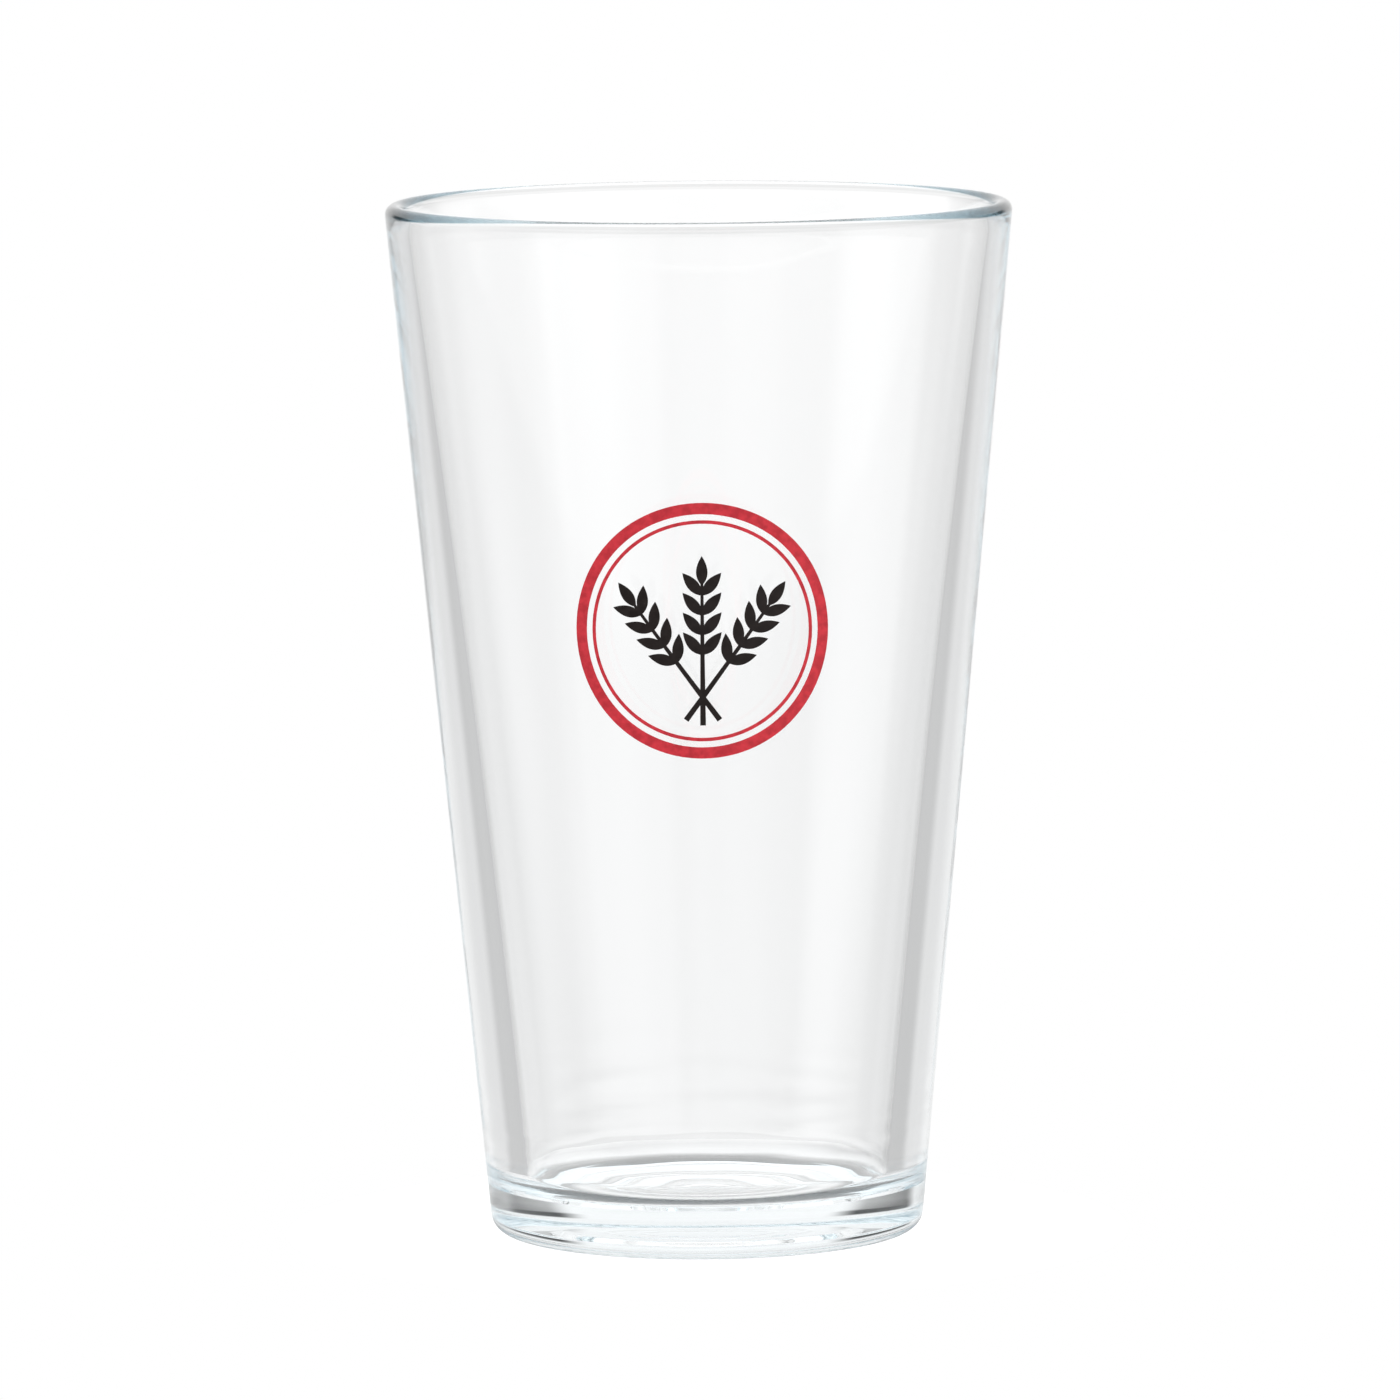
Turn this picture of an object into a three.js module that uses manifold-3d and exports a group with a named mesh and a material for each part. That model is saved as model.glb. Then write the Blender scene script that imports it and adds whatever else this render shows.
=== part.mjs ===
// Pint glass: one pressed soda-lime tumbler with a two-colour enamel emblem fired onto it.
// Millimetres, +Z up. The foot ring stands on z = 0 and the emblem faces -Y.
import * as THREE from 'three';
import { TessellateModifier } from 'three/addons/modifiers/TessellateModifier.js';
import { mergeVertices } from 'three/addons/utils/BufferGeometryUtils.js';
import manifoldModule from 'manifold-3d';

// ---- Tumbler: driving dimensions ----
const height = 147.0;
const rimDiameter = 88.9;
const footDiameter = 61.8; // where the rounded heel meets the wall
const rimWall = 2.8;
const baseWall = 5.9; // thickness the wall grows to at the foot
const heelRadius = 2.8;
const floorHeight = 6.6; // top of the cup's floor above the table
const floorRadius = 21.3; // flat part of the cup's floor
const floorDish = 0.5; // rise from the flat part out to the fillet
const floorFillet = 3.4; // from the floor into the wall
const footRingInner = 25.2; // inner radius of the flat ring the glass stands on
const pushUpEdge = 22.6; // radius where the hollow under the glass levels out
const pushUpHeight = 1.1; // height of the hollow at that radius
const moldRing = 13.8; // radius of the raised round mark in the middle of the hollow
const moldRingStep = 0.4;
const domeRise = 0.3; // extra height of the hollow at its centre
const turnSegments = 96;

// ---- Emblem: driving dimensions, measured along the wall ----
const emblemHeight = 90.0; // height of its centre
const enamelGap = 0.1; // clear of the facets of the wall
const enamelThickness = 0.2;
const enamelFacet = 3.5; // longest edge of the print's facets, so that they follow the round wall
const outerRing = { radius: 17.3, width: 1.6 };
const innerRing = { radius: 15.4, width: 0.5 };
const ringSegments = 72;
const sheafRoot = -9.4; // height of the point where the three ears cross, from the emblem's centre
const earTilts = [-36, 0, 36]; // degrees
const stem = { bottom: -4.0, top: 16.4, width: 0.8 };
const grain = { length: 4.2, width: 1.6, tilt: 40, pairs: 4, first: 6.0, pitch: 2.8 };
const curveSteps = 6; // facets along each side of a grain

const { Manifold, Mesh: ManifoldMesh } = await loadManifold();

async function loadManifold() {
  const api = await manifoldModule();
  api.setup();
  return api;
}

// Points of an arc in the (radius, height) plane, angles in degrees from the outward direction.
function arc(centreR, centreZ, radius, fromDegrees, toDegrees, steps) {
  const points = [];
  for (let i = 0; i <= steps; i += 1) {
    const angle = THREE.MathUtils.degToRad(fromDegrees + (toDegrees - fromDegrees) * (i / steps));
    points.push(new THREE.Vector2(centreR + radius * Math.cos(angle), centreZ + radius * Math.sin(angle)));
  }
  return points;
}

// ---- Outside of the wall: the straight line that touches the heel's and the lip's circles ----
const lipRadius = rimWall / 2;
const lip = new THREE.Vector2(rimDiameter / 2 - lipRadius, height - lipRadius);
const heel = new THREE.Vector2(footDiameter / 2 - heelRadius, heelRadius);
const centreLine = lip.clone().sub(heel);
const wallTilt = Math.atan2(centreLine.x, centreLine.y)
  + Math.asin((lipRadius - heelRadius) / centreLine.length());
const wallTiltDegrees = THREE.MathUtils.radToDeg(wallTilt);

function outerRadius(z) {
  const footOfLine = heel.x + heelRadius / Math.cos(wallTilt) - heel.y * Math.tan(wallTilt);
  return footOfLine + z * Math.tan(wallTilt);
}

// The wall thickens downwards, quickly below the lip and slowly near the base.
function innerRadius(z) {
  const wall = rimWall + (baseWall - rimWall) * (1 - (z / height) ** 2);
  return outerRadius(z) - wall;
}

function tumblerProfile() {
  const underside = [
    new THREE.Vector2(0, pushUpHeight + moldRingStep + domeRise),
    new THREE.Vector2(moldRing - moldRingStep, pushUpHeight + moldRingStep + domeRise / 2),
    new THREE.Vector2(moldRing, pushUpHeight + domeRise / 2),
    new THREE.Vector2(pushUpEdge, pushUpHeight),
    new THREE.Vector2(footRingInner, 0),
  ];
  const heelArc = arc(heel.x, heel.y, heelRadius, -90, -wallTiltDegrees, 6);
  const lipArc = arc(lip.x, lip.y, lipRadius, -wallTiltDegrees, 180 - wallTiltDegrees, 10);
  const filletTop = floorHeight + floorDish + floorFillet;
  const innerWallSteps = 7;
  const innerWall = [];
  for (let i = 1; i <= innerWallSteps; i += 1) {
    const z = lip.y + (filletTop - lip.y) * (i / innerWallSteps);
    innerWall.push(new THREE.Vector2(innerRadius(z), z));
  }
  const filletCentre = innerRadius(filletTop) - floorFillet;
  const fillet = arc(filletCentre, filletTop, floorFillet, 0, -90, 6).slice(1);
  const floor = [
    new THREE.Vector2(floorRadius, floorHeight),
    new THREE.Vector2(0, floorHeight),
  ];
  return [...underside, ...heelArc, ...lipArc, ...innerWall, ...fillet, ...floor];
}

function tumblerGeometry() {
  const geometry = new THREE.LatheGeometry(tumblerProfile(), turnSegments);
  geometry.rotateX(Math.PI / 2);
  return geometry;
}

// ---- Emblem: drawn flat in the XY plane, as thick as the enamel along Z, then laid on the wall ----
function layOnWall(geometry) {
  const position = geometry.getAttribute('position');
  for (let i = 0; i < position.count; i += 1) {
    const z = emblemHeight + position.getY(i) * Math.cos(wallTilt);
    const wallRadius = outerRadius(z);
    const angle = position.getX(i) / wallRadius;
    const radius = wallRadius + enamelGap + position.getZ(i);
    position.setXYZ(i, radius * Math.sin(angle), -radius * Math.cos(angle), z);
  }
  geometry.computeVertexNormals();
  return geometry;
}

function ringGeometry({ radius, width }) {
  const inner = radius - width / 2;
  const outer = radius + width / 2;
  const section = [
    new THREE.Vector2(inner, 0),
    new THREE.Vector2(outer, 0),
    new THREE.Vector2(outer, enamelThickness),
    new THREE.Vector2(inner, enamelThickness),
    new THREE.Vector2(inner, 0),
  ];
  const ring = new THREE.LatheGeometry(section, ringSegments);
  ring.rotateX(Math.PI / 2);
  return layOnWall(ring);
}

function stemShape() {
  const half = stem.width / 2;
  const shape = new THREE.Shape();
  shape.moveTo(-half, stem.bottom);
  shape.lineTo(half, stem.bottom);
  shape.lineTo(half / 2, stem.top);
  shape.lineTo(-half / 2, stem.top);
  return shape;
}

// A grain is a pointed oval with its root at the origin and its tip up.
function grainShape() {
  const shape = new THREE.Shape();
  shape.moveTo(0, 0);
  shape.quadraticCurveTo(grain.width, grain.length * 0.4, 0, grain.length);
  shape.quadraticCurveTo(-grain.width, grain.length * 0.4, 0, 0);
  return shape;
}

function flatSolid(shape, turnDegrees, y) {
  const geometry = new THREE.ExtrudeGeometry(shape, {
    depth: enamelThickness,
    bevelEnabled: false,
    curveSegments: curveSteps,
  });
  geometry.rotateZ(THREE.MathUtils.degToRad(turnDegrees));
  geometry.translate(0, y, 0);
  geometry.deleteAttribute('normal');
  geometry.deleteAttribute('uv');
  const merged = mergeVertices(geometry, 1e-4);
  return new Manifold(new ManifoldMesh({
    numProp: 3,
    vertProperties: merged.getAttribute('position').array,
    triVerts: Uint32Array.from(merged.index.array),
  }));
}

// One ear stands upright on the origin: a stem, grains in pairs along it and one at its tip.
function earSolid() {
  const solids = [flatSolid(stemShape(), 0, 0)];
  for (let row = 0; row < grain.pairs; row += 1) {
    const y = grain.first + row * grain.pitch;
    solids.push(flatSolid(grainShape(), grain.tilt, y));
    solids.push(flatSolid(grainShape(), -grain.tilt, y));
  }
  const tipOverlap = 0.6;
  solids.push(flatSolid(grainShape(), 0, stem.top - tipOverlap));
  return Manifold.union(solids);
}

function sheafGeometry() {
  const ear = earSolid();
  const ears = earTilts.map((tilt) => ear.rotate([0, 0, tilt]).translate([0, sheafRoot, 0]));
  const mesh = Manifold.union(ears).getMesh();
  const geometry = new THREE.BufferGeometry();
  geometry.setAttribute('position', new THREE.BufferAttribute(Float32Array.from(mesh.vertProperties), 3));
  geometry.setIndex(new THREE.BufferAttribute(Uint32Array.from(mesh.triVerts), 1));
  const divisions = 8;
  return layOnWall(new TessellateModifier(enamelFacet, divisions).modify(geometry));
}

function part(name, geometry, color, roughness) {
  const material = new THREE.MeshStandardMaterial({ color, roughness, metalness: 0 });
  const mesh = new THREE.Mesh(geometry, material);
  mesh.name = name;
  return mesh;
}

const pintGlass = new THREE.Group();
pintGlass.name = 'pint_glass';
pintGlass.add(
  part('glass_tumbler', tumblerGeometry(), 0xdfeaec, 0.05),
  part('red_enamel_outer_ring', ringGeometry(outerRing), 0xc43540, 0.35),
  part('red_enamel_inner_ring', ringGeometry(innerRing), 0xc43540, 0.35),
  part('black_enamel_sheaf', sheafGeometry(), 0x231815, 0.35),
);

export default pintGlass;
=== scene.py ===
import math

import bmesh
import bpy
from mathutils import Matrix, Vector, noise


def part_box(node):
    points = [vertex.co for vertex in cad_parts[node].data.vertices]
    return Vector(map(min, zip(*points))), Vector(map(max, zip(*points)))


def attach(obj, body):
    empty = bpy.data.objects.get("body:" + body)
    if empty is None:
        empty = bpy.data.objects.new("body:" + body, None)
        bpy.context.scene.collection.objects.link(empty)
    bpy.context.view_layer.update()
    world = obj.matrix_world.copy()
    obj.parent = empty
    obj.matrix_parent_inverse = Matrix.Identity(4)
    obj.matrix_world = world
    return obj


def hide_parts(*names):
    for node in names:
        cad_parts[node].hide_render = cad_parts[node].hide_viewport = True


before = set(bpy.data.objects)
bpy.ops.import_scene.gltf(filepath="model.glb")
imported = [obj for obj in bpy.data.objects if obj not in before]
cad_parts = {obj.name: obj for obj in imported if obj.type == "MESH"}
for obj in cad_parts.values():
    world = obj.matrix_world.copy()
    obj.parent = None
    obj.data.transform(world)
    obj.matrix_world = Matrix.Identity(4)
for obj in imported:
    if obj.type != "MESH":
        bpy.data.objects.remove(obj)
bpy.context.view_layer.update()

MM = 0.001

# ---- Glass: millimetres, the same driving dimensions as the CAD tumbler ----
GLASS_LOW, GLASS_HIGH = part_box("glass_tumbler")
HEIGHT = (GLASS_HIGH.z - GLASS_LOW.z) / MM
RIM_RADIUS = (GLASS_HIGH.x - GLASS_LOW.x) / 2 / MM
FOOT_RADIUS = 30.9
WALL_AT_RIM = 2.8
WALL_AT_FOOT = 5.9
HEEL_RADIUS = 2.8
FLOOR_HEIGHT = 6.6
FLOOR_RADIUS = 21.3
FLOOR_DISH = 0.5
FLOOR_FILLET = 3.4
FOOT_RING_INNER = 25.2
PUSH_UP_EDGE = 22.6
PUSH_UP_HEIGHT = 1.1
DOME_RISE = 0.3
MOLD_RING = 13.8
MOLD_RING_STEP = 0.4
MOLD_RIDGE, MOLD_RIDGE_WIDTH = 0.2, 0.45  # the ring's own rounded edge, too fine for the CAD model
MOLD_RAGGED, MOLD_RAGGED_WIDTH = 0.09, 1.2  # how far the ring's edge wanders, and over what width
MOLD_RAGGED_FINENESS, MOLD_SEED = 7, 3.0
FINE_RINGS = ((9.4, 0.10), (6.0, 0.08))  # radius and height of the lathe marks inside the mold ring
FINE_RING_WIDTH = 0.35
TURN_SEGMENTS = 360
WALL_ROWS = 140
UNDERSIDE_STEPS = 126
HEEL_STEPS, LIP_STEPS, FILLET_STEPS, FLOOR_STEPS = 16, 28, 20, 12
GLASS_CREASE = 28  # degrees; edges sharper than this stay sharp

# ---- Ripples of the pressed wall: millimetres ----
STREAK_DEPTH, STREAK_FINENESS, STREAK_LENGTH = 0.022, 3.2, 90  # long upright streaks
SETTLE_DEPTH, SETTLE_FINENESS, SETTLE_PITCH = 0.026, 1.6, 1.1  # waves round the wall above the base
SETTLE_HEIGHT, SETTLE_SPREAD = 15, 7  # where the waves are strongest, and how far up and down they reach
CALM_FOOT, CALM_LIP, CALM_FADE = 9, 3, 6  # no ripples this near the foot and the lip, and their fade
OUTSIDE_SEED, INSIDE_SEED = 7.0, 31.0

# ---- Glass as a material: metres, and noise scales per metre ----
GLASS_IOR = 1.52
GLASS_TINT, GLASS_DENSITY = (0.50, 0.66, 0.72, 1), 3.6
SMEAR_SCALE, SMEAR_RANGE, SMEAR_ROUGHNESS = 28.0, (0.52, 0.75), 0.012
POLISH_SCALE, POLISH_STRENGTH, POLISH_DEPTH = 60.0, 0.03, 0.0002

# ---- Emblem: millimetres, measured along the wall from its centre ----
EMBLEM_LOW, EMBLEM_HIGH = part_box("red_enamel_outer_ring")
EMBLEM_HEIGHT = (EMBLEM_LOW.z + EMBLEM_HIGH.z) / 2 / MM
INK_GAP = 0.01
INK_THICKNESS = 0.05
INK_RAGGED, INK_RAGGED_FINENESS, INK_RAGGED_SEED = 0.018, 40, 5
INK_CREASE = 30  # degrees
OUTER_RING = (17.3, 1.6)  # radius of its middle line, width
INNER_RING = (15.4, 0.5)
RING_SEGMENTS = 480
SHEAF_ROOT = -9.4
EAR_TILTS = (-36, 0, 36)
STEM_BOTTOM, STEM_TOP, STEM_WIDTH = -4.0, 16.4, 0.8
GRAIN_LENGTH, GRAIN_WIDTH, GRAIN_TILT = 4.2, 1.6, 40
GRAIN_PAIRS, GRAIN_FIRST, GRAIN_PITCH = 4, 6.0, 2.8
GRAIN_SHOULDER = 0.4  # height of its curves' middle handle, as a share of its length
GRAIN_STEPS = 14
TIP_OVERLAP = 0.6
WELD_GAP = 0.002  # corners of the joined ears closer than this become one
WRAP_STEP = 0.5  # the flat print is sliced this finely before it is bent round the wall

# ---- Enamel as a material: metres, and noise scales per metre ----
RED_INK = (0.66, 0.035, 0.052)
BLACK_INK = (0.011, 0.006, 0.005)
CLOUD_SCALE, CLOUD_TONES = 900.0, (0.3, 0.7)  # the ink's uneven cover
THIN_INK, THIN_INK_LIFT, THICK_INK = 1.18, 0.004, 0.86  # where it is thin it is lighter, else darker
INK_GLOSS_RANGE, INK_ROUGHNESS, INK_SPECULAR = (0.25, 0.75), (0.30, 0.46), 0.25
THREAD_PITCH, THREAD_RELIEF = 0.00018, 0.35  # the weave of the printing screen
RELIEF_STRENGTH, RELIEF_DEPTH = 0.25, 0.00002

# ---- Camera: metres and degrees, its sensor and lens in millimetres ----
CAMERA_DISTANCE = 1.6
CAMERA_HEIGHT = 0.2579
CAMERA_PITCH = 6.489
CAMERA_ROLL = 0.502
CAMERA_OFFSET = -0.0004
CAMERA_SENSOR, CAMERA_LENS = 36.0, 291.0
CAMERA_FAR = 50.0

# ---- Studio floor: metres; a shade is painted shade, 0 where the floor is pale and 1 where it is black ----
DISC_RADIUS, DISC_SEGMENTS = 0.06, 128  # the floor is a disc that melts into the white room
DISC_GAP = 0.0002
DISC_ALBEDO = 0.88
# Painted light: the floor glows, for the camera only.
BACKDROP_GLOW = 0.15  # brings what the camera sees of the floor up to plain white
# Painted shade: the floor is painted darker under the middle of the glass.
PAINTED_MIDDLE_SHADE, MIDDLE_EDGE = 0.35, (0.014, 0.018)  # under the middle of the glass
# Painted contact shadow: the floor is painted dark in a ring under the foot.
PAINTED_CONTACT_SHADOW = 0.68  # the dark ring where the foot meets the floor
CONTACT_INNER_EDGE, CONTACT_OUTER_EDGE = (0.018, 0.023), (0.030, 0.036)
# Painted shade: past the foot the floor is painted grey between the windows, as the walls beyond them are
# grey.
NEAR_EDGE, FAR_EDGE = (0.031, 0.048), (0.045, 0.058)  # past the foot, and at the disc's border
NEAR_TURN, NEAR_SHADE = (12.0, 45.0), (0.15, 0.38)  # degrees away from a window, shades there
FAR_TURN, FAR_SHADE = (20.0, 60.0), (0.08, 0.40)

# ---- Room: levels of light, degrees of azimuth (from +Y towards +X) and degrees of rise ----
WINDOWS = (0, -90, 135)  # azimuths of the lit openings in the grey walls
BACK_WINDOW = 135
STEEP_WINDOW = -45  # the one opening low down, where only steep views look
STEEP_RISE = (-22.0, -18.0)
WINDOW_EDGE, SIDE_EDGE = (29, 39), (50, 60)  # how far from a window the grey and the side light begin
LIT, WALL_GREY, UPPER_WALL_GREY = 1.07, 0.76, 0.04
UPPER_WALL_RISE, UPPER_WALL_WIDENS = (-4.0, 1.5), 6.0  # the dark upper wall narrows each window
SIDE_GREY, STEEP_SIDE_GREY, SIDE_RISE = 1.05, 0.60, (-16.0, -10.0)
STEEP_GREY, STEEP_FADE = 0.86, 0.96  # the walls and the fade as the steep views see them
BACK_RISE, BACK_TURN = (-14.0, -11.0), (62.0, 76.0)  # near the back window those two begin higher up
DUSK, DUSK_RISE, DUSK_TURN, DUSK_POWER = -0.15, (-8.0, -5.5), 25.0, 0.6  # low walls, off the windows
HORIZON_FADE, HORIZON_RISE = 0.97, (-7.8, -7.6)
NEAR_FADE, NEAR_RISE = 0.91, (-10.0, -8.6)
GROUND_RISE = (-40.0, -32.0)  # below this all is lit
WALL_TOP = (7.0, 11.0)
UPPER_LIGHT, TOP_LIGHT, TOP_RISE = 1.0, 1.45, (25.0, 60.0)
UNLIT_SIDE, UNLIT_LEVEL, UNLIT_TURN = 198, 0.5, (38.0, 60.0)  # the dim side, behind the camera
UNLIT_RISE, UNLIT_SPREAD = 3.0, (12.0, 18.0)  # dim at this rise, and so far above and below it

# ---- Light paths ----
GLASS_BOUNCES = 96


class Nodes:
    """Adds shader nodes to one tree. Inputs may be sockets or plain values."""

    def __init__(self, tree):
        self.tree = tree

    def put(self, socket, value):
        if isinstance(value, bpy.types.NodeSocket):
            self.tree.links.new(value, socket)
        else:
            socket.default_value = value

    def add(self, kind, inputs=None, **settings):
        node = self.tree.nodes.new(kind)
        for name, value in settings.items():
            setattr(node, name, value)
        for name, value in (inputs or {}).items():
            self.put(node.inputs[name], value)
        return node

    def math(self, operation, *values):
        node = self.add("ShaderNodeMath", operation=operation)
        for index, value in enumerate(values):
            self.put(node.inputs[index], value)
        return node.outputs[0]

    def ramp(self, value, start, end, low=0.0, high=1.0):
        """A smooth step from low, at start, to high, at end."""
        inputs = {"Value": value, "From Min": start, "From Max": end, "To Min": low, "To Max": high}
        return self.add("ShaderNodeMapRange", inputs, interpolation_type="SMOOTHSTEP").outputs[0]

    def mix(self, factor, first, second):
        """Between two numbers."""
        return self.add("ShaderNodeMix", {"Factor": factor, "A": first, "B": second}).outputs[0]

    def axes(self, vector):
        return self.add("ShaderNodeSeparateXYZ", {0: vector}).outputs

    def noise(self, vector, scale, detail):
        inputs = {"Vector": vector, "Scale": scale, "Detail": detail}
        return self.add("ShaderNodeTexNoise", inputs).outputs["Fac"]

    def bump(self, shader, height, strength, distance):
        inputs = {"Height": height, "Strength": strength, "Distance": distance}
        self.put(shader.inputs["Normal"], self.add("ShaderNodeBump", inputs).outputs[0])


def new_object(name, mesh):
    piece = bpy.data.objects.new(name, mesh)
    bpy.context.scene.collection.objects.link(piece)
    return piece


def new_material(name):
    material = bpy.data.materials.new(name)
    material.use_nodes = True
    return material, Nodes(material.node_tree), material.node_tree.nodes["Principled BSDF"]


# ---- Profile of the glass ----

def arc(centre_r, centre_z, radius, start, end, steps):
    """Points of an arc in the (radius, height) plane, angles in degrees from outwards."""
    points = []
    for i in range(steps + 1):
        angle = math.radians(start + (end - start) * i / steps)
        points.append((centre_r + radius * math.cos(angle), centre_z + radius * math.sin(angle)))
    return points


LIP_RADIUS = WALL_AT_RIM / 2
LIP = (RIM_RADIUS - LIP_RADIUS, HEIGHT - LIP_RADIUS)
HEEL = (FOOT_RADIUS - HEEL_RADIUS, HEEL_RADIUS)
CENTRE_GAP = math.hypot(LIP[0] - HEEL[0], LIP[1] - HEEL[1])
CENTRE_TILT = math.atan2(LIP[0] - HEEL[0], LIP[1] - HEEL[1])
WALL_TILT = CENTRE_TILT + math.asin((LIP_RADIUS - HEEL_RADIUS) / CENTRE_GAP)
TILT_DEGREES = math.degrees(WALL_TILT)


def outer_radius(z):
    """The straight outside of the wall, which touches the heel's and the lip's circles."""
    foot_of_line = HEEL[0] + HEEL_RADIUS / math.cos(WALL_TILT) - HEEL[1] * math.tan(WALL_TILT)
    return foot_of_line + z * math.tan(WALL_TILT)


def inner_radius(z):
    """The wall thickens downwards, quickly below the lip and slowly near the base."""
    return outer_radius(z) - WALL_AT_RIM - (WALL_AT_FOOT - WALL_AT_RIM) * (1 - (z / HEIGHT) ** 2)


def ragged_ring(angle, radius):
    """How far the mold ring's uneven edge wanders at this place, in millimetres."""
    near_ring = math.exp(-((radius - MOLD_RING) / MOLD_RAGGED_WIDTH) ** 2)
    across, up = MOLD_RAGGED_FINENESS * math.cos(angle), MOLD_RAGGED_FINENESS * math.sin(angle)
    return MOLD_RAGGED * near_ring * noise.noise(Vector((across, up, MOLD_SEED)))


def underside_height(radius):
    """The shallow hollow under the glass: a dome, the mold ring's step and finer lathe marks."""
    if radius >= PUSH_UP_EDGE:
        return PUSH_UP_HEIGHT * (FOOT_RING_INNER - radius) / (FOOT_RING_INNER - PUSH_UP_EDGE)
    height = PUSH_UP_HEIGHT + DOME_RISE * (1 - (radius / PUSH_UP_EDGE) ** 2)
    inside_ring = min(max((MOLD_RING - radius) / MOLD_RING_STEP, 0), 1)
    height += MOLD_RING_STEP * inside_ring
    height -= MOLD_RIDGE * math.exp(-((radius - MOLD_RING) / MOLD_RIDGE_WIDTH) ** 2)
    for ring_radius, ring_height in FINE_RINGS:
        height += ring_height * math.exp(-((radius - ring_radius) / FINE_RING_WIDTH) ** 2)
    return height


def glass_profile():
    """(radius, height) points from the axis under the glass, round the rim, to the axis inside."""
    underside = []
    for i in range(UNDERSIDE_STEPS + 1):
        radius = FOOT_RING_INNER * i / UNDERSIDE_STEPS
        underside.append((radius, underside_height(radius)))
    heel = arc(*HEEL, HEEL_RADIUS, -90, -TILT_DEGREES, HEEL_STEPS)
    outside = []
    for i in range(1, WALL_ROWS):
        z = heel[-1][1] + (LIP[1] - heel[-1][1]) * i / WALL_ROWS
        outside.append((outer_radius(z), z))
    lip = arc(*LIP, LIP_RADIUS, -TILT_DEGREES, 180 - TILT_DEGREES, LIP_STEPS)
    fillet_top = FLOOR_HEIGHT + FLOOR_DISH + FLOOR_FILLET
    inside = []
    for i in range(1, WALL_ROWS + 1):
        z = LIP[1] + (fillet_top - LIP[1]) * i / WALL_ROWS
        inside.append((inner_radius(z), z))
    fillet_centre = inner_radius(fillet_top) - FLOOR_FILLET
    fillet = arc(fillet_centre, fillet_top, FLOOR_FILLET, 0, -90, FILLET_STEPS)[1:]
    floor = []
    for i in range(FLOOR_STEPS + 1):
        floor.append((FLOOR_RADIUS * (1 - i / FLOOR_STEPS), FLOOR_HEIGHT))
    return underside + heel + outside + lip + inside + fillet + floor


def wall_waviness(angle, z, seed):
    """Slow ripples of a pressed wall, in millimetres: long upright streaks, and settle waves low down."""
    around = Vector((math.cos(angle), math.sin(angle), 0))
    streaks = noise.noise(around * STREAK_FINENESS + Vector((seed, 0, z / STREAK_LENGTH)))
    settle = noise.noise(around * SETTLE_FINENESS + Vector((0, seed, z / SETTLE_PITCH)))
    low_down = math.exp(-((z - SETTLE_HEIGHT) / SETTLE_SPREAD) ** 2)
    return STREAK_DEPTH * streaks + SETTLE_DEPTH * settle * low_down


def free_wall_share(z):
    """1 where the wall ripples freely, fading to 0 at the base and at the lip."""
    above_foot = min(max((z - CALM_FOOT) / CALM_FADE, 0), 1)
    below_lip = min(max((HEIGHT - CALM_LIP - z) / CALM_FADE, 0), 1)
    return above_foot * below_lip


def glass_mesh():
    """The profile turned about the axis, with the ring's raggedness below and ripples on the wall."""
    profile = glass_profile()
    top = max(range(len(profile)), key=lambda index: profile[index][1])
    bm = bmesh.new()
    rows = []
    for index, (radius, z) in enumerate(profile):
        if radius < 1e-6:  # on the axis all of a row is one point
            rows.append([bm.verts.new((0, 0, z * MM))] * TURN_SEGMENTS)
            continue
        row = []
        free_wall = free_wall_share(z)
        seed = OUTSIDE_SEED if index < top else INSIDE_SEED
        for k in range(TURN_SEGMENTS):
            angle = 2 * math.pi * k / TURN_SEGMENTS
            r = radius
            if index < UNDERSIDE_STEPS:
                r += ragged_ring(angle, radius)
            elif free_wall > 0:
                r += free_wall * wall_waviness(angle, z, seed)
            row.append(bm.verts.new((r * MM * math.cos(angle), r * MM * math.sin(angle), z * MM)))
        rows.append(row)
    for lower, upper in zip(rows, rows[1:]):
        for k in range(TURN_SEGMENTS):
            j = (k + 1) % TURN_SEGMENTS
            corners = list(dict.fromkeys((lower[k], lower[j], upper[j], upper[k])))
            if len(corners) > 2:
                bm.faces.new(corners).smooth = True
    mesh = bpy.data.meshes.new("glass_body")
    bm.to_mesh(mesh)
    bm.free()
    mesh.set_sharp_from_angle(angle=math.radians(GLASS_CREASE))
    return mesh


def glass_material():
    material, nodes, shader = new_material("clear_soda_lime_glass")
    place = nodes.add("ShaderNodeTexCoord").outputs["Object"]
    shader.inputs["Base Color"].default_value = (1, 1, 1, 1)
    shader.inputs["IOR"].default_value = GLASS_IOR
    shader.inputs["Transmission Weight"].default_value = 1.0
    smears = nodes.noise(place, SMEAR_SCALE, 3.0)
    nodes.put(shader.inputs["Roughness"], nodes.ramp(smears, *SMEAR_RANGE, 0.0, SMEAR_ROUGHNESS))
    polish = nodes.noise(place, POLISH_SCALE, 1.0)
    nodes.bump(shader, polish, POLISH_STRENGTH, POLISH_DEPTH)
    tint = nodes.add("ShaderNodeVolumeAbsorption", {"Color": GLASS_TINT, "Density": GLASS_DENSITY})
    output = material.node_tree.nodes["Material Output"]
    nodes.put(output.inputs["Volume"], tint.outputs[0])
    return material


# ---- Enamel emblem ----

def lay_on_wall(bm):
    """Bends a print drawn flat, x across, y up and z outwards, round the outside of the wall."""
    for vertex in bm.verts:
        z = EMBLEM_HEIGHT + vertex.co.y * math.cos(WALL_TILT)
        wall = outer_radius(z)
        angle = vertex.co.x / wall
        ripple = wall_waviness(angle - math.pi / 2, z, OUTSIDE_SEED)
        radius = (wall + ripple + INK_GAP + vertex.co.z) * MM
        vertex.co = (radius * math.sin(angle), -radius * math.cos(angle), z * MM)


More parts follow.
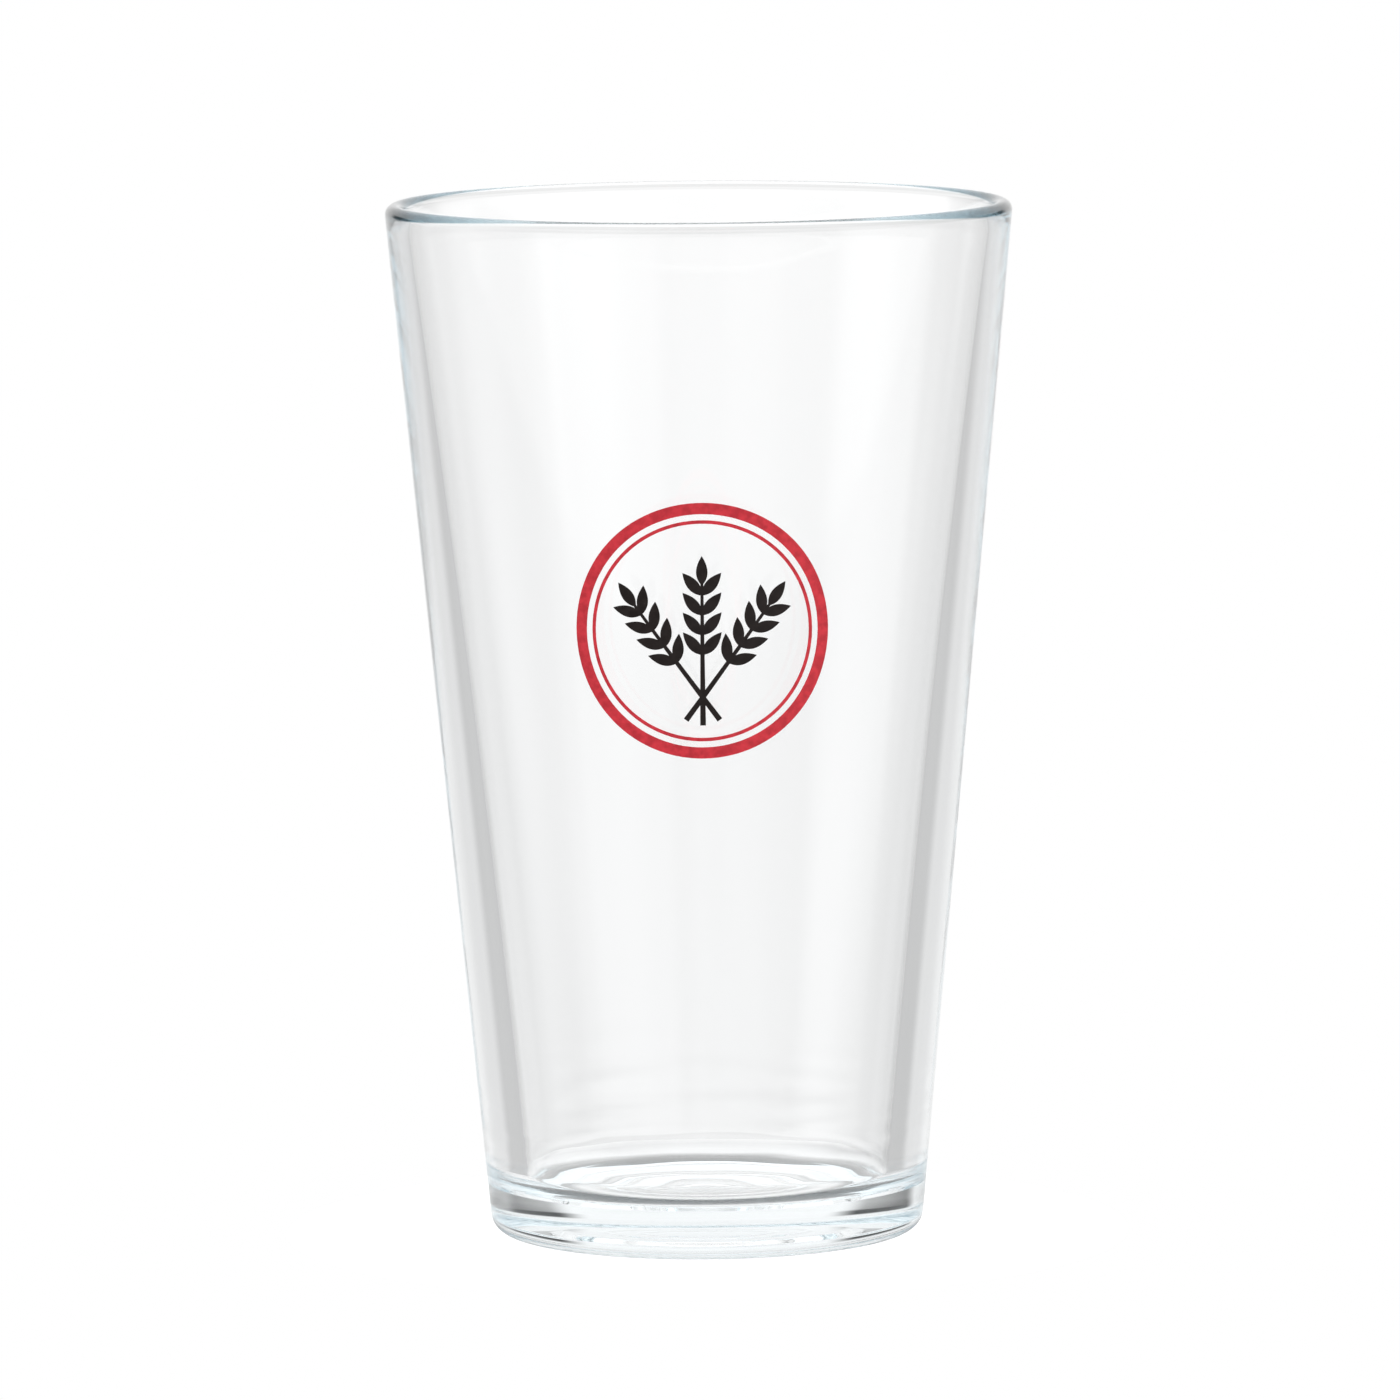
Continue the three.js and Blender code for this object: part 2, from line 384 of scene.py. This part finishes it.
def enamel_piece(name, bm, material, node):
    lay_on_wall(bm)
    bmesh.ops.recalc_face_normals(bm, faces=bm.faces)
    mesh = bpy.data.meshes.new(name)
    bm.to_mesh(mesh)
    bm.free()
    for face in mesh.polygons:
        face.use_smooth = True
    mesh.set_sharp_from_angle(angle=math.radians(INK_CREASE))
    mesh.materials.append(material)
    piece = new_object(name, mesh)
    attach(piece, "root")
    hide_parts(node)
    return piece


def ring_bmesh(radius, width):
    """A flat ring whose edges have the faint raggedness of a screen print."""
    bm = bmesh.new()
    loops = []
    for edge, depth in ((-1, 0), (1, 0), (1, INK_THICKNESS), (-1, INK_THICKNESS)):
        loop = []
        for k in range(RING_SEGMENTS):
            angle = 2 * math.pi * k / RING_SEGMENTS
            across, up = math.cos(angle), math.sin(angle)
            fineness, seed = INK_RAGGED_FINENESS, edge * INK_RAGGED_SEED
            ragged = INK_RAGGED * noise.noise(Vector((across * fineness, up * fineness, seed)))
            r = radius + edge * width / 2 + ragged
            loop.append(bm.verts.new((r * across, r * up, depth)))
        loops.append(loop)
    for one, two in zip(loops, loops[1:] + loops[:1]):
        for k in range(RING_SEGMENTS):
            j = (k + 1) % RING_SEGMENTS
            bm.faces.new((one[k], one[j], two[j], two[k]))
    return bm


def grain_outline():
    """A pointed oval, its root at the origin and its tip up: two quadratic curves."""
    outline = []
    for side in (1, -1):
        for i in range(GRAIN_STEPS):
            t = i / GRAIN_STEPS if side > 0 else 1 - i / GRAIN_STEPS
            across = side * 2 * t * (1 - t) * GRAIN_WIDTH
            along = 2 * t * (1 - t) * GRAIN_LENGTH * GRAIN_SHOULDER + t * t * GRAIN_LENGTH
            outline.append((across, along))
    return outline


def stem_outline():
    half = STEM_WIDTH / 2
    return [(-half, STEM_BOTTOM), (half, STEM_BOTTOM), (half / 2, STEM_TOP), (-half / 2, STEM_TOP)]


def ear_outlines():
    """Outlines of one upright ear: its stem, then its grains, each with its turn and height."""
    shapes = [(stem_outline(), 0, 0)]
    for row in range(GRAIN_PAIRS):
        height = GRAIN_FIRST + row * GRAIN_PITCH
        shapes += [(grain_outline(), GRAIN_TILT, height), (grain_outline(), -GRAIN_TILT, height)]
    shapes.append((grain_outline(), 0, STEM_TOP - TIP_OVERLAP))
    return shapes


def add_prism(bm, outline, transform):
    lower = [bm.verts.new(transform @ Vector((x, y, 0))) for x, y in outline]
    upper = [bm.verts.new(transform @ Vector((x, y, INK_THICKNESS))) for x, y in outline]
    bm.faces.new(lower[::-1])
    bm.faces.new(upper)
    for i, start in enumerate(lower):
        j = (i + 1) % len(lower)
        bm.faces.new((start, lower[j], upper[j], upper[i]))


def flat_ear(tilt):
    """One ear as overlapping flat prisms, tilted about the point where the three ears cross."""
    bm = bmesh.new()
    ear_place = Matrix.Translation((0, SHEAF_ROOT, 0)) @ Matrix.Rotation(math.radians(tilt), 4, "Z")
    for outline, turn, height in ear_outlines():
        shape_place = Matrix.Translation((0, height, 0)) @ Matrix.Rotation(math.radians(turn), 4, "Z")
        add_prism(bm, outline, ear_place @ shape_place)
    mesh = bpy.data.meshes.new("flat_ear")
    bm.to_mesh(mesh)
    bm.free()
    return new_object("flat_ear", mesh)


def sheaf_bmesh():
    """The three ears joined into one outline, then sliced upright so that it can bend."""
    first, *others = [flat_ear(tilt) for tilt in EAR_TILTS]
    for other in others:
        joined = first.modifiers.new("join", "BOOLEAN")
        joined.operation = "UNION"
        joined.solver = "EXACT"
        joined.use_self = True
        joined.object = other
    bpy.context.view_layer.update()
    union = first.evaluated_get(bpy.context.evaluated_depsgraph_get()).to_mesh()
    bm = bmesh.new()
    bm.from_mesh(union)
    for ear in (first, *others):
        bpy.data.objects.remove(ear)
    bmesh.ops.remove_doubles(bm, verts=bm.verts, dist=WELD_GAP)
    half_width = OUTER_RING[0]
    x = -half_width
    while x < half_width:
        geometry = bm.verts[:] + bm.edges[:] + bm.faces[:]
        bmesh.ops.bisect_plane(bm, geom=geometry, dist=1e-5, plane_co=(x, 0, 0), plane_no=(1, 0, 0))
        x += WRAP_STEP
    return bm


def enamel_material(name, colour):
    """Fired screen ink: satin, with the screen's faint weave and an uneven cover."""
    material, nodes, shader = new_material(name)
    place = nodes.add("ShaderNodeTexCoord").outputs["Object"]
    x, _, z = nodes.axes(place)
    cloud = nodes.noise(place, CLOUD_SCALE, 4.0)
    light = tuple(min(c * THIN_INK + THIN_INK_LIFT, 1) for c in colour)
    dark = tuple(c * THICK_INK for c in colour)
    tone = nodes.add("ShaderNodeMix", {"Factor": nodes.ramp(cloud, *CLOUD_TONES)}, data_type="RGBA")
    tone.inputs[6].default_value = (*dark, 1)
    tone.inputs[7].default_value = (*light, 1)
    nodes.put(shader.inputs["Base Color"], tone.outputs[2])
    nodes.put(shader.inputs["Roughness"], nodes.ramp(cloud, *INK_GLOSS_RANGE, *INK_ROUGHNESS))
    shader.inputs["Specular IOR Level"].default_value = INK_SPECULAR
    threads = 2 * math.pi / THREAD_PITCH
    weave = nodes.math(
        "MULTIPLY",
        nodes.math("SINE", nodes.math("MULTIPLY", x, threads)),
        nodes.math("SINE", nodes.math("MULTIPLY", z, threads)),
    )
    relief = nodes.math("ADD", nodes.math("MULTIPLY", weave, THREAD_RELIEF), cloud)
    nodes.bump(shader, relief, RELIEF_STRENGTH, RELIEF_DEPTH)
    return material


# ---- Studio ----

def azimuth(nodes, vector):
    """Degrees round from +Y towards +X."""
    x, y, _ = nodes.axes(vector)
    return nodes.math("DEGREES", nodes.math("ARCTAN2", x, y))


def turn_from(nodes, turn, window):
    """How many degrees away from a window this azimuth is."""
    return nodes.math("ABSOLUTE", nodes.math("WRAP", nodes.math("SUBTRACT", turn, window), 180.0, -180.0))


def turn_from_nearest(nodes, turn, windows):
    nearest = turn_from(nodes, turn, windows[0])
    for window in windows[1:]:
        nearest = nodes.math("MINIMUM", nearest, turn_from(nodes, turn, window))
    return nearest


def floor_material():
    """A pale floor with painted shade. Its outer part is painted grey between the windows, as the walls
    beyond it are grey; a painted contact shadow rings the foot, and painted shade lies under the middle of
    the glass. For the camera it glows up to plain white.
    """
    material, nodes, shader = new_material("studio_sweep")
    place = nodes.add("ShaderNodeTexCoord").outputs["Object"]
    away = turn_from_nearest(nodes, azimuth(nodes, place), (*WINDOWS, STEEP_WINDOW))
    distance = nodes.add("ShaderNodeVectorMath", {0: place}, operation="LENGTH").outputs["Value"]
    # Painted shade on the outer floor, grey between the windows.
    near_shade = nodes.ramp(away, *NEAR_TURN, *NEAR_SHADE)
    far_shade = nodes.ramp(away, *FAR_TURN, *FAR_SHADE)
    between = nodes.mix(nodes.ramp(distance, *FAR_EDGE), near_shade, far_shade)
    outer = nodes.math("MULTIPLY", nodes.ramp(distance, *NEAR_EDGE), between)
    # Painted contact shadow: a dark ring painted on the floor under the foot.
    ring_begins = nodes.ramp(distance, *CONTACT_INNER_EDGE)
    ring_ends = nodes.ramp(distance, *CONTACT_OUTER_EDGE, PAINTED_CONTACT_SHADOW, 0.0)
    painted_contact_shadow = nodes.math("MULTIPLY", ring_begins, ring_ends)
    # Painted shade under the middle of the glass.
    middle = nodes.ramp(distance, *MIDDLE_EDGE, PAINTED_MIDDLE_SHADE, 0.0)
    shade = nodes.math("MAXIMUM", nodes.math("MAXIMUM", painted_contact_shadow, outer), middle)
    tone = nodes.math("MULTIPLY", nodes.math("SUBTRACT", 1.0, shade), DISC_ALBEDO)
    nodes.put(shader.inputs["Base Color"], tone)
    shader.inputs["Roughness"].default_value = 1.0
    shader.inputs["Specular IOR Level"].default_value = 0.0
    # Painted light: for camera rays only, the floor glows by its painted shade plus the backdrop glow, so
    # the camera sees plain white.
    seen = nodes.add("ShaderNodeLightPath").outputs["Is Camera Ray"]
    shader.inputs["Emission Color"].default_value = (1, 1, 1, 1)
    camera_only_glow = nodes.math("MULTIPLY", nodes.math("ADD", shade, BACKDROP_GLOW), seen)
    nodes.put(shader.inputs["Emission Strength"], camera_only_glow)
    return material


def add_floor():
    bm = bmesh.new()
    bmesh.ops.create_circle(bm, cap_ends=True, radius=DISC_RADIUS, segments=DISC_SEGMENTS)
    mesh = bpy.data.meshes.new("studio_floor")
    bm.to_mesh(mesh)
    bm.free()
    mesh.materials.append(floor_material())
    floor = new_object("studio_floor", mesh)
    floor.location.z = GLASS_LOW.z - DISC_GAP


def low_wall(nodes, turn, rise):
    """The grey walls between the windows: their level of light in one direction."""
    steep = nodes.ramp(rise, *STEEP_RISE, 1.0, 0.0)
    away = nodes.mix(steep, turn_from_nearest(nodes, turn, WINDOWS), turn_from(nodes, turn, STEEP_WINDOW))
    at_back = nodes.ramp(turn_from(nodes, turn, BACK_WINDOW), *BACK_TURN, 1.0, 0.0)
    from_high = nodes.math("MULTIPLY", nodes.ramp(rise, *BACK_RISE, 1.0, 0.0), at_back)
    from_high = nodes.math("MAXIMUM", from_high, steep)

    above = nodes.ramp(rise, *UPPER_WALL_RISE)
    grey = nodes.mix(above, WALL_GREY, UPPER_WALL_GREY)
    grey = nodes.mix(from_high, grey, STEEP_GREY)
    from_window = nodes.math("MULTIPLY_ADD", above, UPPER_WALL_WIDENS, away)
    wall = nodes.ramp(from_window, *WINDOW_EDGE, LIT, grey)
    side_light = nodes.ramp(rise, *SIDE_RISE, STEEP_SIDE_GREY - WALL_GREY, SIDE_GREY - WALL_GREY)
    sides = nodes.math("MULTIPLY", nodes.ramp(away, *SIDE_EDGE), side_light)

    aside = nodes.math("MINIMUM", nodes.math("DIVIDE", away, DUSK_TURN), 1.0)
    aside = nodes.math("POWER", aside, DUSK_POWER)
    low_down = nodes.ramp(rise, *DUSK_RISE, 1.0, 0.0)
    dusk = nodes.math("MULTIPLY", nodes.math("MULTIPLY", aside, low_down), DUSK)
    horizon = nodes.ramp(rise, *HORIZON_RISE, HORIZON_FADE, 1.0)
    near = nodes.ramp(rise, *NEAR_RISE, NEAR_FADE, 1.0)
    fade = nodes.math("MULTIPLY", near, nodes.math("ADD", dusk, horizon))
    fade = nodes.mix(from_high, fade, STEEP_FADE)
    return nodes.math("MULTIPLY", nodes.math("ADD", wall, sides), fade)


def set_world():
    """A white room with a low grey wall round it, open at the windows. The camera sees plain white."""
    world = bpy.data.worlds.new("soft_studio")
    bpy.context.scene.world = world
    world.use_nodes = True
    nodes = Nodes(world.node_tree)
    direction = nodes.add("ShaderNodeTexCoord").outputs["Generated"]
    turn = azimuth(nodes, direction)
    rise = nodes.math("DEGREES", nodes.math("ARCSINE", nodes.axes(direction)[2]))
    wall = nodes.mix(nodes.ramp(rise, *GROUND_RISE, 1.0, 0.0), low_wall(nodes, turn, rise), LIT)
    upper = nodes.ramp(rise, *TOP_RISE, UPPER_LIGHT, TOP_LIGHT)
    room = nodes.mix(nodes.ramp(rise, *WALL_TOP), wall, upper)
    unlit = nodes.ramp(turn_from(nodes, turn, UNLIT_SIDE), *UNLIT_TURN, UNLIT_LEVEL, 1.0)
    level = nodes.math("ABSOLUTE", nodes.math("SUBTRACT", rise, UNLIT_RISE))
    unlit = nodes.mix(nodes.ramp(level, *UNLIT_SPREAD), unlit, 1.0)
    room = nodes.math("MULTIPLY", room, unlit)
    seen = nodes.add("ShaderNodeLightPath").outputs["Is Camera Ray"]
    background = world.node_tree.nodes["Background"]
    nodes.put(background.inputs["Color"], nodes.mix(seen, room, 1.0))


def add_camera():
    data = bpy.data.cameras.new("camera")
    data.sensor_width = CAMERA_SENSOR
    data.lens = CAMERA_LENS
    data.clip_end = CAMERA_FAR
    camera = new_object("camera", data)
    pitch = Matrix.Rotation(math.radians(90 - CAMERA_PITCH), 4, "X")
    roll = Matrix.Rotation(math.radians(-CAMERA_ROLL), 4, "Z")
    place = Matrix.Translation((CAMERA_OFFSET, -CAMERA_DISTANCE, CAMERA_HEIGHT))
    camera.matrix_world = place @ pitch @ roll
    bpy.context.scene.camera = camera


def set_light_paths():
    """Enough bounces for thick glass, with no glossy filter, so that clear glass casts no false shadow."""
    scene = bpy.context.scene
    scene.view_settings.view_transform = "Standard"
    scene.cycles.max_bounces = GLASS_BOUNCES
    scene.cycles.transmission_bounces = GLASS_BOUNCES
    scene.cycles.glossy_bounces = GLASS_BOUNCES
    scene.cycles.diffuse_bounces = 6
    scene.cycles.transparent_max_bounces = 16
    scene.cycles.blur_glossy = 0.0


# ---- Build ----
add_camera()
add_floor()
set_world()
set_light_paths()

glass = new_object("glass_body", glass_mesh())
glass.data.materials.append(glass_material())
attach(glass, "root")
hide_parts("glass_tumbler")

red = enamel_material("red_enamel_ink", RED_INK)
black = enamel_material("black_enamel_ink", BLACK_INK)
outer_ring = enamel_piece("red_ring_print", ring_bmesh(*OUTER_RING), red, "red_enamel_outer_ring")
inner_ring = enamel_piece("red_line_print", ring_bmesh(*INNER_RING), red, "red_enamel_inner_ring")
sheaf = enamel_piece("black_sheaf_print", sheaf_bmesh(), black, "black_enamel_sheaf")
